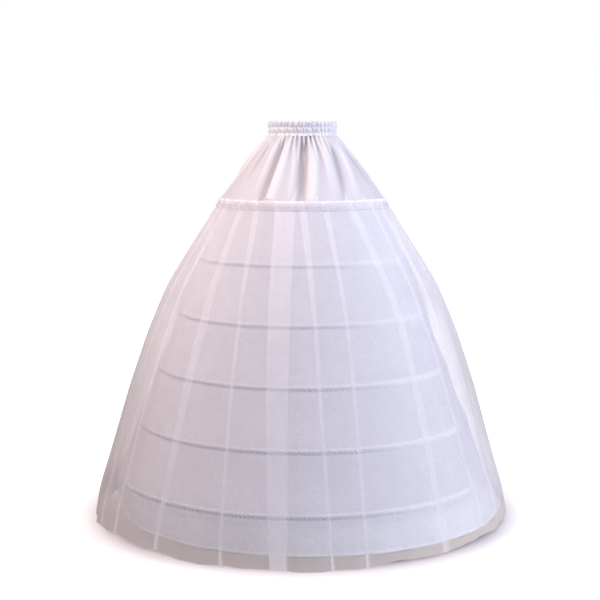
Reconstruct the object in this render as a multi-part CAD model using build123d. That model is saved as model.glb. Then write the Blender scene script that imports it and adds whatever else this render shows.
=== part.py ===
from build123d import *
import math
import os

# A crinoline petticoat with six hoops, in the shape that it has when it is worn.
# An elastic waistband carries a gathered yoke, the yoke carries a cone-shaped lining,
# the lining carries six steel hoops in sewn channels, and a sheer pleated overskirt hangs over them.
# Millimetres and degrees. The origin is the middle of the waist opening, at the waistband's top edge.
# +Z is up and the front faces -Y. Cloth is drawn thicker than it is, so that every layer is a closed solid,
# and in flat facets, which stay clear of the round steel that they go over. Yoke, lining and overskirt are sewn
# from gores, each one a solid.

# Waistband: two cloth layers folded over a flat elastic and gathered into ruffles
WAIST_WIDTH = 190.0
WAIST_DEPTH = 170.0
WAISTBAND_HEIGHT = 38.0
WAISTBAND_CLOTH = 1.4
RUFFLE_DEPTH = 1.8
RUFFLE_COUNT = 30
ELASTIC_HEIGHT = 25.0
ELASTIC_THICKNESS = 1.6

# Yoke: gathered into the waistband, smooth again where it laps over the lining
YOKE_CLOTH = 1.2
YOKE_TUCK = 8.0
YOKE_LAP = 4.0
GORE_GATHERS = 3
GATHER_DEPTH = 5.0
GATHER_BLOOM = 16.0

# Steel hoops, each one a flat strip whose ends meet in a crimped sleeve at the back
HOOP_COUNT = 6
TOP_HOOP_DIAMETER = 488.0
BOTTOM_HOOP_DIAMETER = 1100.0
TOP_HOOP_DROP = 237.0
HOOP_SPACING = 159.0
STEEL_WIDTH = 6.0
STEEL_THICKNESS = 1.0
HOOP_END_GAP = 3.0
SLEEVE_LENGTH = 24.0
SLEEVE_WALL = 0.4
SLEEVE_FIT = 0.1

# Lining, with its hem below the bottom hoop, and the channel tapes on its outer face
LINING_CLOTH = 1.2
LINING_RISE = 15.0
LINING_HEM_DROP = 99.0
LINING_HEM_DIAMETER = 1146.0
GORE_COUNT = 8
GORE_FACETS = 7
CHANNEL_WIDTH = 20.0
CHANNEL_CLOTH = 1.0

# Overskirt: a bell of sheer net in flat pleats, hung from the top hoop's channel
NET_CLOTH = 1.2
NET_BELOW_HEM = 26.0
NET_HEM_DIAMETER = 1222.0
PLEAT_DEPTH = 3.0
PLEAT_STEP_RUN = 3.0
WIDEST_FACET = 9.0
PLEATS_PER_GORE = 2
BELL_DROP_SHARES = (0.0, 0.17, 0.27, 0.41, 0.70, 1.0)
BELL_SPREAD_SHARES = (0.0, 0.275, 0.425, 0.578, 0.808, 1.0)
# Start and end of each front pleat in degrees from the front, at the heading and then at the hem
FRONT_PLEATS = (
    (-80.0, -74.0, -78.0, -74.5),
    (-62.0, -56.0, -60.0, -57.0),
    (-46.0, -40.0, -43.0, -39.5),
    (-34.7, -30.0, -22.0, -19.5),
    (-18.7, -6.5, -7.8, -4.5),
    (-2.5, 3.5, 5.0, 7.5),
    (12.5, 18.0, 15.6, 18.5),
    (29.5, 35.0, 38.0, 41.0),
    (58.0, 64.0, 56.0, 59.0),
    (74.0, 80.0, 72.0, 75.5),
)
BACK_PLEAT_COUNT = 9
BACK_PLEAT_HEADING_SPAN = 6.0
BACK_PLEAT_HEM_SPAN = 3.0

# Room between pieces that touch, between tape and the cloth that it is stitched to, and past a cut
SEAT_CLEARANCE = 0.3
STITCH_CLEARANCE = 0.1
OVERRUN = 10.0
# Four corners count as flat within this distance
FLATNESS = 0.00001

FULL_TURN = 360.0
FRONT_ANGLE = -90.0
BACK_ANGLE = 90.0

# The lining's slope, and how far its outer face lies inside the middle of the steel strips
HOOP_SPREAD = (BOTTOM_HOOP_DIAMETER - TOP_HOOP_DIAMETER) / 2
HOOPS_DROP = (HOOP_COUNT - 1) * HOOP_SPACING
SLOPE = math.atan2(HOOP_SPREAD, HOOPS_DROP)
# A straight sleeve holds the ends of a bowed strip, which bows most in the top hoop
SLEEVE_BOW = SLEEVE_LENGTH**2 / (4 * TOP_HOOP_DIAMETER)
SLEEVE_HALF_WIDTH = STEEL_WIDTH / 2 + SLEEVE_FIT + SLEEVE_WALL
SLEEVE_OUT = STEEL_THICKNESS / 2 + SLEEVE_FIT + SLEEVE_WALL
LINING_SEAT = SLEEVE_OUT + SLEEVE_BOW + SEAT_CLEARANCE

# A channel is a tape lifted to a ridge by the hoop inside it and stitched down along both edges
CHANNEL_FOOT = STITCH_CLEARANCE - LINING_SEAT
SLEEVE_CORNER = SLEEVE_OUT + SEAT_CLEARANCE - CHANNEL_FOOT
RIDGE_REACH_SHARE = 1 - SLEEVE_HALF_WIDTH / (CHANNEL_WIDTH / 2)

LINING_FACETS = GORE_COUNT * GORE_FACETS
YOKE_CORNERS = 2 * GORE_COUNT * GORE_GATHERS

# Heights
LINING_TOP = LINING_RISE - TOP_HOOP_DROP
YOKE_BOTTOM = LINING_TOP - YOKE_LAP
BOTTOM_HOOP_LEVEL = -TOP_HOOP_DROP - HOOPS_DROP
HEM_BREAK = BOTTOM_HOOP_LEVEL - CHANNEL_WIDTH / 2
LINING_HEM = BOTTOM_HOOP_LEVEL - LINING_HEM_DROP
NET_HEM = LINING_HEM - NET_BELOW_HEM


def hoop_radius(index):
    """Radius of a hoop at the middle of its strip."""
    return TOP_HOOP_DIAMETER / 2 + HOOP_SPREAD * index / (HOOP_COUNT - 1)


def lining_radius(height):
    """Radius of the lining's outer face at a height."""
    at_top_hoop = hoop_radius(0) - LINING_SEAT / math.cos(SLOPE)
    return at_top_hoop + (-TOP_HOOP_DROP - height) * math.tan(SLOPE)


def on_slope(index, along, out):
    """Radius and height of a point beside a hoop, along the slope downwards and out from the lining."""
    radius = hoop_radius(index) + along * math.sin(SLOPE) + out * math.cos(SLOPE)
    height = -TOP_HOOP_DROP - index * HOOP_SPACING - along * math.cos(SLOPE) + out * math.sin(SLOPE)
    return radius, height


def hollow_ridge(index):
    """How far a channel's inner ridge stands out from a hoop, so that its facets clear the sleeve's corners."""
    sag = hoop_radius(index) * (1 - math.cos(math.pi / LINING_FACETS))
    return CHANNEL_FOOT + (SLEEVE_CORNER + sag) / RIDGE_REACH_SHARE


def ring(section, start=0.0, sweep=FULL_TURN):
    """A section of radii and heights, turned about the upright axis from a start angle."""
    outline = Wire.make_polygon([(radius, 0, height) for radius, height in section])
    return Rot(0, 0, start) * revolve(Face(outline), Axis.Z, sweep)


def row(angles, radii, height):
    """Corners at one height, by angle and radius."""
    turns = [math.radians(angle) for angle in angles]
    return [Vector(r * math.cos(a), r * math.sin(a), height) for a, r in zip(turns, radii)]


def even_row(count, radius, height):
    """Evenly spread corners at one height."""
    return row([FULL_TURN * corner / count for corner in range(count)], [radius] * count, height)


def oval_row(count, offset, height, ruffle=0.0):
    """Corners round the waist opening, set off outwards, with every second one ruffled out."""
    corners = []
    for corner in range(count):
        angle = math.radians(FULL_TURN * corner / count)
        stand = offset + ruffle * (corner % 2)
        x = (WAIST_WIDTH / 2 + stand) * math.cos(angle)
        y = (WAIST_DEPTH / 2 + stand) * math.sin(angle)
        corners.append(Vector(x, y, height))
    return corners


def patch(a, b, c, d):
    """One face on four corners, or two where the corners are twisted."""
    across = (b - a).cross(c - a)
    if abs(across.dot(d - a)) < FLATNESS * across.length:
        return [Face(Wire.make_polygon([a, b, c, d]))]
    return [Face(Wire.make_polygon([a, b, c])), Face(Wire.make_polygon([a, c, d]))]


def strip(upper, lower):
    """Faces between two runs that have as many corners."""
    faces = []
    for corner in range(len(upper) - 1):
        faces += patch(upper[corner], upper[corner + 1], lower[corner + 1], lower[corner])
    return faces


def strips(runs):
    """Faces from each run to the next one."""
    return [face for upper, lower in zip(runs, runs[1:]) for face in strip(upper, lower)]


def closed(ring_row):
    """A row round the whole part, brought back to its first corner."""
    return ring_row + ring_row[:1]


def rim(outer, inner):
    """The flat edge of a tube of cloth between two rows at one height."""
    return Face(Wire.make_polygon(outer), [Wire.make_polygon(inner)])


def gore(outer, inner):
    """One closed panel of cloth between two stacks of runs."""
    faces = strips(outer) + strips(inner)
    for end in (0, -1):
        faces.append(Face(Wire.make_polygon(outer[end] + inner[end][::-1])))
        faces += strip([run[end] for run in outer], [run[end] for run in inner])
    return Solid(Shell(faces))


def gores(outer, inner):
    """Even gores side by side, cut from two stacks of rows that go round the part."""
    facets = len(outer[0]) // GORE_COUNT

    def cut(rows, number):
        return [closed(each)[number * facets : (number + 1) * facets + 1] for each in rows]

    return Compound([gore(cut(outer, number), cut(inner, number)) for number in range(GORE_COUNT)])


def flats_outside(radius, facet):
    """Corner radius of a row whose facets stay outside a circle."""
    return radius / math.cos(math.radians(facet / 2))


# The casing's slot takes the elastic above and the yoke's top edge below
SLOT_WIDTH = max(ELASTIC_THICKNESS, YOKE_CLOTH) + 2 * SEAT_CLEARANCE
SLOT_MIDDLE = WAISTBAND_CLOTH + SLOT_WIDTH / 2


def waistband_casing():
    """Two layers joined by a fold at the top, with ruffles on the outer face."""
    corners = 2 * RUFFLE_COUNT
    ceiling = -WAISTBAND_CLOTH
    bottom = -WAISTBAND_HEIGHT
    slot_outside = WAISTBAND_CLOTH + SLOT_WIDTH
    outside = slot_outside + WAISTBAND_CLOTH
    outer = [oval_row(corners, outside, height, RUFFLE_DEPTH) for height in (0, bottom)]
    slot_outer = [oval_row(corners, slot_outside, height) for height in (bottom, ceiling)]
    slot_inner = [oval_row(corners, WAISTBAND_CLOTH, height) for height in (ceiling, bottom)]
    inner = [oval_row(corners, 0, height) for height in (bottom, 0)]
    faces = []
    for pair in (outer, slot_outer, slot_inner, inner):
        faces += strip(closed(pair[0]), closed(pair[1]))
    faces += [rim(outer[0], inner[1]), rim(outer[1], slot_outer[0])]
    faces += [rim(slot_outer[1], slot_inner[0]), rim(slot_inner[1], inner[0])]
    return Solid(Shell(faces))


def waist_elastic():
    """A flat elastic loop that hangs in the casing's fold."""
    corners = 2 * RUFFLE_COUNT
    top = -WAISTBAND_CLOTH - SEAT_CLEARANCE
    heights = (top, top - ELASTIC_HEIGHT)
    outer = [oval_row(corners, SLOT_MIDDLE + ELASTIC_THICKNESS / 2, height) for height in heights]
    inner = [oval_row(corners, SLOT_MIDDLE - ELASTIC_THICKNESS / 2, height) for height in heights]
    faces = strip(closed(outer[0]), closed(outer[1])) + strip(closed(inner[0]), closed(inner[1]))
    return Solid(Shell(faces + [rim(outer[0], inner[0]), rim(outer[1], inner[1])]))


def yoke():
    """A cone of cloth, oval and tucked in at the waist, gathered below it, round at the lining."""
    facet = FULL_TURN / YOKE_CORNERS
    lining_side = [lining_radius(height) + SEAT_CLEARANCE for height in (LINING_TOP, YOKE_BOTTOM)]
    foot_radius, lap_radius = [flats_outside(radius, facet) for radius in lining_side]
    tuck_offset = SLOT_MIDDLE - YOKE_CLOTH / 2
    half_width = WAIST_WIDTH / 2 + tuck_offset
    half_depth = WAIST_DEPTH / 2 + tuck_offset
    bloom_share = GATHER_BLOOM / (-LINING_TOP - WAISTBAND_HEIGHT)

    def gathered_row(height, round_share, radius, gather, cloth):
        points = []
        for corner in range(YOKE_CORNERS):
            angle = math.radians(facet * corner)
            stand = cloth + gather / 2 - gather * (corner % 2)
            x = half_width + (radius - half_width) * round_share + stand
            y = half_depth + (radius - half_depth) * round_share + stand
            points.append(Vector(x * math.cos(angle), y * math.sin(angle), height))
        return points

    def stack(cloth):
        return [
            gathered_row(YOKE_TUCK - WAISTBAND_HEIGHT, 0, foot_radius, 0, cloth),
            gathered_row(-WAISTBAND_HEIGHT, 0, foot_radius, 0, cloth),
            gathered_row(-WAISTBAND_HEIGHT - GATHER_BLOOM, bloom_share, foot_radius, GATHER_DEPTH, cloth),
            gathered_row(LINING_TOP, 1, foot_radius, 0, cloth),
            gathered_row(YOKE_BOTTOM, 1, lap_radius, 0, cloth),
        ]

    return gores(stack(YOKE_CLOTH), stack(0))


def lining_skirt():
    """A straight cone through the hoops, and a steeper hem below them."""
    thickness = LINING_CLOTH / math.cos(SLOPE)
    levels = [
        (lining_radius(LINING_TOP), LINING_TOP),
        (lining_radius(HEM_BREAK), HEM_BREAK),
        (LINING_HEM_DIAMETER / 2, LINING_HEM),
    ]
    outer = [even_row(LINING_FACETS, radius, height) for radius, height in levels]
    inner = [even_row(LINING_FACETS, radius - thickness, height) for radius, height in levels]
    return gores(outer, inner)


def hoop_channel(index):
    """A tape ridged over a hoop, which tapers to its two stitched edges."""
    half_width = CHANNEL_WIDTH / 2
    ridge = hollow_ridge(index)
    section = [
        on_slope(index, -half_width, CHANNEL_FOOT),
        on_slope(index, 0, ridge + CHANNEL_CLOTH),
        on_slope(index, half_width, CHANNEL_FOOT),
        on_slope(index, 0, ridge),
    ]
    rows = [closed(even_row(LINING_FACETS, radius, height)) for radius, height in section]
    return Solid(Shell(strips(closed(rows))))


def hoop(index):
    """A flat steel strip, open at the back."""
    gap = math.degrees(HOOP_END_GAP / hoop_radius(index))
    corners = ((-1, -1), (1, -1), (1, 1), (-1, 1))
    section = [on_slope(index, a * STEEL_WIDTH / 2, b * STEEL_THICKNESS / 2) for a, b in corners]
    return ring(section, BACK_ANGLE + gap / 2, FULL_TURN - gap)


def hoop_connector(index):
    """A flat crimped sleeve round the two ends of a hoop."""
    radius, height = on_slope(index, 0, -SLEEVE_BOW / 2)
    out = (0, math.cos(SLOPE), math.sin(SLOPE))
    seat = Plane(origin=(0, radius, height), x_dir=(1, 0, 0), z_dir=out)
    hollow_width = STEEL_WIDTH + 2 * SLEEVE_FIT
    hollow_depth = STEEL_THICKNESS + 2 * SLEEVE_FIT + SLEEVE_BOW
    outside = Box(SLEEVE_LENGTH, hollow_width + 2 * SLEEVE_WALL, hollow_depth + 2 * SLEEVE_WALL)
    return seat * (outside - Box(SLEEVE_LENGTH + OVERRUN, hollow_width, hollow_depth))


def all_pleats():
    """The front pleats, then evenly spread ones from the right side round the back to the left."""
    right = FRONT_PLEATS[-1]
    left = FRONT_PLEATS[0]
    pleats = list(FRONT_PLEATS)
    for index in range(1, BACK_PLEAT_COUNT + 1):
        share = index / (BACK_PLEAT_COUNT + 1)
        heading = right[0] + (left[0] + FULL_TURN - right[0]) * share
        hem = right[2] + (left[2] + FULL_TURN - right[2]) * share
        pleats.append((heading, heading + BACK_PLEAT_HEADING_SPAN, hem, hem + BACK_PLEAT_HEM_SPAN))
    return pleats


def pleats_at(drop_share):
    """Start and end of every pleat at a share of the drop. Folds swing most just under the heading."""
    swing = math.sqrt(drop_share)
    return [(a + (c - a) * swing, b + (d - b) * swing) for a, b, c, d in all_pleats()]


def facet_count(span):
    """Facets that a span of the overskirt needs so that none of them is too wide."""
    return math.ceil(span / WIDEST_FACET)


def pleat_facets():
    """Facets of each pleat, and of the plain cloth after it, enough for the heading and for the hem."""
    counts = []
    ends = [pleats_at(0), pleats_at(1)]
    for index in range(len(ends[0])):
        spans = []
        for pleats in ends:
            start, end = pleats[index]
            following = pleats[(index + 1) % len(pleats)][0]
            spans.append((end - start, (following - end) % FULL_TURN))
        counts.append((facet_count(max(a for a, b in spans)), facet_count(max(b for a, b in spans))))
    return counts


def net_run(first, drop_share, radius, height, pleat_depth):
    """Corners of one gore of net at one level, stepped out by the pleat depth where it is folded."""
    pleats = pleats_at(drop_share)
    counts = pleat_facets()
    last = min(first + PLEATS_PER_GORE, len(pleats))
    step = math.degrees(PLEAT_STEP_RUN / radius)
    angles = []
    radii = []
    for index in range(first, last):
        start, end = pleats[index]
        pleat_count, plain_count = counts[index]
        following = pleats[(index + 1) % len(pleats)][0]
        plain = (following - end) % FULL_TURN
        if pleat_depth > 0:
            angles += [start - step]
            radii += [radius]
        folded = [start + (end - start) * facet / pleat_count for facet in range(pleat_count + 1)]
        angles += folded
        radii += [radius + pleat_depth] * len(folded)
        if pleat_depth > 0:
            angles += [end + step]
            radii += [radius]
        between = [end + plain * facet / plain_count for facet in range(1, plain_count)]
        angles += between
        radii += [radius] * len(between)
    seam = pleats[last % len(pleats)][0]
    angles.append(seam - step if pleat_depth > 0 else seam)
    radii.append(radius)
    return row([FRONT_ANGLE + angle for angle in angles], radii, height)


def tulle_overskirt():
    """A pleated bell that starts on the yoke's lap, rides over the top channel and hangs past the lining."""
    ridge_radius, ridge_height = on_slope(0, 0, hollow_ridge(0) + CHANNEL_CLOTH)
    lap_radius = flats_outside(lining_radius(YOKE_BOTTOM) + SEAT_CLEARANCE, FULL_TURN / YOKE_CORNERS)
    heading = flats_outside(lap_radius + YOKE_CLOTH + SEAT_CLEARANCE, WIDEST_FACET)
    shoulder = flats_outside(ridge_radius + SEAT_CLEARANCE, WIDEST_FACET)
    hem = NET_HEM_DIAMETER / 2 - PLEAT_DEPTH - NET_CLOTH
    levels = [(0, heading, LINING_TOP)]
    for drop_share, spread_share in zip(BELL_DROP_SHARES, BELL_SPREAD_SHARES):
        radius = shoulder + (hem - shoulder) * spread_share
        height = ridge_height + (NET_HEM - ridge_height) * drop_share
        levels.append((drop_share, radius, height))
    panels = []
    for first in range(0, len(all_pleats()), PLEATS_PER_GORE):
        outer = [net_run(first, share, radius + NET_CLOTH, z, PLEAT_DEPTH) for share, radius, z in levels]
        inner = [net_run(first, share, radius, z, 0) for share, radius, z in levels]
        panels.append(gore(outer, inner))
    return Compound(panels)


def all_parts():
    """Every piece by its name."""
    parts = {
        "waistband_casing": waistband_casing(),
        "waist_elastic": waist_elastic(),
        "yoke": yoke(),
        "lining_skirt": lining_skirt(),
        "tulle_overskirt": tulle_overskirt(),
    }
    for index in range(HOOP_COUNT):
        number = index + 1
        parts[f"hoop_channel_{number}"] = hoop_channel(index)
        parts[f"hoop_{number}"] = hoop(index)
        parts[f"hoop_connector_{number}"] = hoop_connector(index)
    return parts


os.makedirs("parts", exist_ok=True)
for name, part in all_parts().items():
    export_step(part, f"parts/{name}.step")
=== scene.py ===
"""Looks of the crinoline petticoat: gathered cloth, sheer net, steel, studio light and camera."""
import math
from collections import namedtuple

import bpy
import numpy as np
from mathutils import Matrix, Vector


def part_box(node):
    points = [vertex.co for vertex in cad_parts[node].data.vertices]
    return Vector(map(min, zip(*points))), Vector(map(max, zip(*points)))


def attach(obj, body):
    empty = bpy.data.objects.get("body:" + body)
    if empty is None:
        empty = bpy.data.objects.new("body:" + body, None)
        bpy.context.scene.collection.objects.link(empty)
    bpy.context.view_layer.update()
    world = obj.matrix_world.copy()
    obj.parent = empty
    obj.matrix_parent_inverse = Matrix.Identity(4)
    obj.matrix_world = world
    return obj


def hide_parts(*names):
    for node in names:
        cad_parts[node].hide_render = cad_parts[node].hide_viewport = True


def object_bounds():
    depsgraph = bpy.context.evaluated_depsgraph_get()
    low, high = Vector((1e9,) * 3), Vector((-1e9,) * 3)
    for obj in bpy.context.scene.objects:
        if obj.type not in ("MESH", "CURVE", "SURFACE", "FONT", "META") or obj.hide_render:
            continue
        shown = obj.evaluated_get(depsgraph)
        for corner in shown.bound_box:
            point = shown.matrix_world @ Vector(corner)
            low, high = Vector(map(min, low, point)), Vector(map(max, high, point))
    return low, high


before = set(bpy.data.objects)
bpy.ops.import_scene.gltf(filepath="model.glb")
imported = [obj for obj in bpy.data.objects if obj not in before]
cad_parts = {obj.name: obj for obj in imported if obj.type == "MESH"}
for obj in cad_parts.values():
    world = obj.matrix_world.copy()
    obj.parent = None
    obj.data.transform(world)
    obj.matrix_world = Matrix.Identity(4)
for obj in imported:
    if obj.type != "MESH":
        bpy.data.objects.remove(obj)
cad_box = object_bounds()

# Metres and degrees. Angles round the part start at the front and grow towards +X.
# A pair of shares that a soft step takes holds where the step starts and how long it runs.
FULL_TURN = 360.0
HOOP_COUNT = 6
STEEL_WIDTH = 0.006
STEEL_THICKNESS = 0.001
ELASTIC_THICKNESS = 0.0016
SEAT_CLEARANCE = 0.0003

# Waistband: cloth shirred round the elastic in two puffed bands, with a small frill below
BAND_COLUMNS = 1200
BAND_INSIDE_ROWS = 10
BAND_FOLD_ROWS = 6
BAND_PUFF_ROWS = 12
BAND_INSIDE_END_SHARE = 0.1
BAND_SEAT = 0.0004
BAND_STITCH_DROPS = (0.0025, 0.0195, 0.0345)
BAND_PUFF = 0.0012
BAND_CREASE = 0.0016
BAND_PUCKERS = 46
BAND_SLANT = 2.5
BAND_TOOTH = 0.0011
# Half width in degrees of the painted shade across the band's front
BAND_FRONT_SHADE_HALF = 42.0
FRILL_ROWS = 6
FRILL_START_SHARE = 0.15
FRILL_DROP = 0.0415
FRILL_REACH = 0.0048
FRILL_SCALLOPS = 36

# Yoke: cloth gathered into the waistband and let out into long folds
YOKE_COLUMNS = 960
YOKE_ROWS = 98
YOKE_TUCK = 0.005
YOKE_BLOOM = 0.0020
# How high a ridge and how deep a valley or fold must be for its full painted highlight or painted shade, and
# how many columns are averaged to find them
YOKE_RIDGE_HIGHLIGHT = 0.0030
YOKE_VALLEY_SHADE = 0.0034
YOKE_DEEP_SHADE = 0.0140
YOKE_LEVEL_COLUMNS = 45
YOKE_FOOT_SHARES = (0.96, 0.04)
GATHERS = 24
GATHER_DEPTH = 0.0042
GATHER_GROWS_SHARES = (0.0, 0.06)
GATHER_FADES_SHARES = (0.08, 0.45)
FINE_GATHERS = 58
FINE_GATHER_DEPTH = 0.0018
FINE_GROWS_SHARES = (0.0, 0.02)
FINE_FADES_SHARES = (0.03, 0.2)
# A fold's angle at the waist and at the foot, its height, and its reach to the left and right in degrees.
# Then the shares of the drop where it is highest and where it has run out. A valley's height is negative.
YOKE_FOLDS = (
    (-57.0, -50.0, -0.0060, 7.0, 4.0, 0.22, 0.80),
    (-41.0, -37.0, 0.0050, 3.0, 8.0, 0.26, 1.00),
    (-29.5, -29.0, -0.0150, 11.0, 3.4, 0.24, 1.30),
    (-22.0, -25.2, 0.0125, 1.8, 10.0, 0.34, 1.70),
    (-8.2, -9.8, 0.0050, 1.7, 3.2, 0.30, 1.15),
    (4.0, -1.0, -0.0145, 12.0, 2.8, 0.30, 1.35),
    (12.0, 3.6, 0.0120, 1.6, 8.5, 0.42, 1.50),
    (27.7, 20.0, 0.0065, 2.2, 7.0, 0.22, 0.90),
    (46.0, 29.5, -0.0100, 7.0, 5.0, 0.34, 1.30),
    (57.0, 40.0, 0.0050, 3.0, 9.0, 0.36, 1.20),
    (72.0, 66.0, -0.0060, 6.0, 5.0, 0.30, 0.95),
)
# Folds of the sides and back: how many, their height and arc, and the least and most of what differs
BACK_FOLDS = 17
BACK_FOLD_HEIGHT = 0.0085
BACK_FOLD_ARC = (84.0, 288.0)
BACK_FOLD_HEIGHT_SHARES = (0.6, 1.2)
BACK_FOLD_REACHES = (2.4, 7.0)
BACK_FOLD_SWINGS = (-6, 6)
BACK_FOLD_HIGHEST_SHARES = (0.22, 0.4)
BACK_FOLD_GONE_SHARES = (0.8, 1.05)
# Angle at the foot, half width, and share of the drop where each small tuck above the heading starts
RELEASE_TUCKS = (
    (-33.5, 1.0, 0.87),
    (-25.2, 0.9, 0.80),
    (-20.5, 0.8, 0.92),
    (-6.8, 0.9, 0.72),
    (-1.4, 0.8, 0.88),
    (9.0, 0.8, 0.90),
    (31.0, 1.0, 0.86),
    (47.0, 1.0, 0.90),
)
TUCK_HEIGHT = 0.0030
TUCK_SWING = 16.0

# Lining: opaque cone through the hoops, with a turned hem
LINING_COLUMNS = 480
LINING_ROWS = 170
LINING_SAG = 0.0030
LINING_RIPPLE = 0.0012
LINING_RIPPLES = 38
LINING_FREE_REACH = 0.05
LINING_LEAN = 0.020
LINING_BREAK = 0.012
HEM_TURN = 0.014
HEM_TURN_ROWS = 5
HEM_FOLD = 0.0016
HEM_FOLD_SHARES = (0.33, 0.66, 1.0)
# Height of the painted highlight along the lining's hem
HEM_HIGHLIGHT_HEIGHT = 0.0090

# Channel tapes over the hoops
TAPE_ROWS = 23
TAPE_PITCH = 0.0024
TAPE_HALF_WIDTH = 0.0100
TAPE_RISE = 0.0022
TAPE_REACH_UP = 0.0108
TAPE_REACH_DOWN = 0.0076
TAPE_FLAT = 0.0028
TAPE_STITCH_HALF = 0.0008
TAPE_STITCH_SHADE = 0.3
TAPE_REST = 0.0003
TAPE_COVER = 0.0007
TAPE_PUCKER = 0.0002
TAPE_PUCKER_PITCH = 0.0115
TAPE_PUCKER_SLANT = 0.9
TAPE_UNEVEN_WAVES = 26
TAPE_DRIFT_WAVES = 60
TAPE_DRIFT = 1.5
STEEL_LINE_DROP = 0.0012
STEEL_LINE_HALF = 0.0046
STEEL_LINE_SAW = 0.0030
STEEL_LINE_TONE = 0.62
STEEL_LINE_STROKE = 0.75
STEEL_LINE_LEAST = 0.08
# How plainly the steel shows through the tape, by angle round the hoop, and with it the painted shade that
# darkens that line, strongest where the light leaves the hoop in shade
STEEL_SHOWS_ANGLES = (-180.0, -110.0, -75.0, -45.0, 2.0, 16.0, 34.0, 62.0, 76.0, 180.0)
STEEL_SHOWS_SHARES = (0.8, 0.9, 1.0, 1.0, 1.0, 0.7, 0.2, 0.1, 0.95, 0.8)

# Net overskirt: a bell in pleats of three layers
NET_ROWS = 80
NET_ROW_BUNCHING = 1.12
NET_ROW_GAP_SHARE = 0.002
NET_HEM_LINES = 12
NET_HEM_REACH = 0.034
NET_LAYER_GAP = 0.0007
NET_TURN_UNDER = 0.012
NET_TURN_UNDER_SHARES = (1.0, 0.6, 0.3)
NET_LAYER_COLUMNS = 5
NET_TURN_COLUMNS = 2
NET_PLAIN_PITCH = 0.0072
NET_FEWEST_COLUMNS = 6
NET_CLEARANCE = 0.0012
NET_BILLOW = 0.0080
NET_BILLOW_SHARES = (0.55, 1.15)
NET_WAVE = 0.0036
NET_WAVES = 46
NET_BROAD_WAVES = 13
NET_SETTLE = 0.014
NET_HEM_WAVE = 0.0022
NET_HEM_WAVES = 30
NET_PUCKER = 0.0008
NET_PUCKERS = 120
NET_PUCKER_SHARES = (0.0, 0.06)
# How much the net's own shading turns to that of the smooth bell, and how a fold's shading leans
NET_EVENNESS = 2.0
FOLD_LEAN = 0.75
BELL_DROP_SHARES = (0.0, 0.012, 0.077, 0.174, 0.254, 0.349, 0.407, 0.512, 0.579, 0.711, 0.825, 0.919, 1.0)
BELL_SPREAD_SHARES = (0.0, 0.014, 0.123, 0.280, 0.404, 0.514, 0.575, 0.666, 0.721, 0.815, 0.895, 0.962, 1.0)
# Left and right edge of each front pleat: at the heading, at a third of the drop and at the hem
PLEAT_SWING_SHARE = 0.33
FRONT_PLEATS = (
    (-104.0, -99.0, -101.0, -98.8, -101.5, -100.0),
    (-93.0, -88.0, -91.5, -89.5, -90.5, -89.0),
    (-84.0, -79.0, -82.0, -79.5, -80.0, -78.4),
    (-74.0, -69.0, -71.0, -69.0, -70.5, -69.3),
    (-64.0, -58.0, -60.0, -58.4, -61.0, -60.2),
    (-46.5, -42.5, -41.0, -37.4, -42.0, -41.0),
    (-34.7, -30.0, -24.0, -22.9, -21.2, -20.6),
    (-18.7, -4.5, -12.6, -4.9, -8.2, -4.1),
    (-3.6, 1.5, 3.9, 5.0, 7.1, 7.6),
    (12.5, 16.5, 15.6, 16.5, 15.8, 16.4),
    (29.5, 35.0, 36.9, 39.8, 38.9, 41.0),
    (50.0, 54.0, 50.4, 51.6, 57.0, 58.0),
    (62.0, 69.0, 58.0, 61.0, 69.0, 72.0),
    (76.0, 82.0, 73.0, 75.5, 78.5, 80.0),
    (90.0, 95.0, 88.0, 90.0, 90.0, 91.4),
    (101.0, 106.0, 100.0, 102.0, 101.0, 102.6),
)
BACK_PLEATS = 7
BACK_PLEAT_SPANS = (6.0, 2.6, 1.8)
BACK_PLEAT_SPAN_SHARES = (0.8, 1.2)
BACK_PLEAT_SHIFT_SHARE = 0.12
# How far the net's hem is lifted and swung out, by angle, and the part of the drop where this grows
HEM_ANGLES = (
    -180.0, -130.0, -95.0, -78.0, -57.0, -44.0, -30.0, -16.0, 0.0,
    14.0, 25.0, 38.0, 53.0, 66.0, 85.0, 130.0, 180.0,
)
HEM_LIFTS = (
    0.003, 0.000, 0.001, 0.001, 0.011, 0.008, 0.001, 0.003, 0.000,
    0.001, 0.011, 0.004, 0.013, 0.007, 0.002, 0.002, 0.003,
)
HEM_SWINGS = (
    0.004, -0.004, 0.006, 0.012, 0.000, -0.002, -0.002, 0.000, 0.000,
    0.000, -0.002, -0.003, -0.008, -0.006, -0.001, -0.006, 0.004,
)
HEM_LIFT_SHARES = (0.6, 0.4)
HEM_SWING_SHARES = (0.35, 0.65)
# How dense the net looks: plain, in a pleat's two hidden layers, in its top layer, and added along a crease
PLAIN_DENSITY = 0.31
UNDER_DENSITY = 0.07
TOP_DENSITY = 0.36
CREASE_DENSITY = 0.30
# How dense it looks in the heading, and what the gathers, the sides, the free hem and the rolled edge add
HEADING_DENSITY = 0.64
GATHERED_DENSITY = 0.15
SIDE_DENSITY = 0.45
HEM_DENSITY = 0.62
ROLL_DENSITY = 0.25
# How closely the net is gathered, how white its pleats are painted as highlight and how grey it is painted
# as shade, by angle
SIDE_ANGLES = (-180.0, -150.0, -110.0, -68.0, -44.0, -20.0, 10.0, 52.0, 76.0, 110.0, 150.0, 180.0)
SIDE_SHARES = (0.25, 0.35, 0.9, 1.0, 0.0, 0.0, 0.0, 0.0, 1.15, 0.6, 0.3, 0.25)
PLEAT_HIGHLIGHT_SHARES = (0.8, 0.8, 0.7, 0.7, 0.8, 1.0, 1.1, 0.4, 0.2, 0.4, 0.8, 0.8)
SIDE_SHADE_SHARES = (0.28, 0.32, 0.72, 0.72, 0.0, 0.0, 0.0, 0.0, 1.0, 0.9, 0.32, 0.28)
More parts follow.
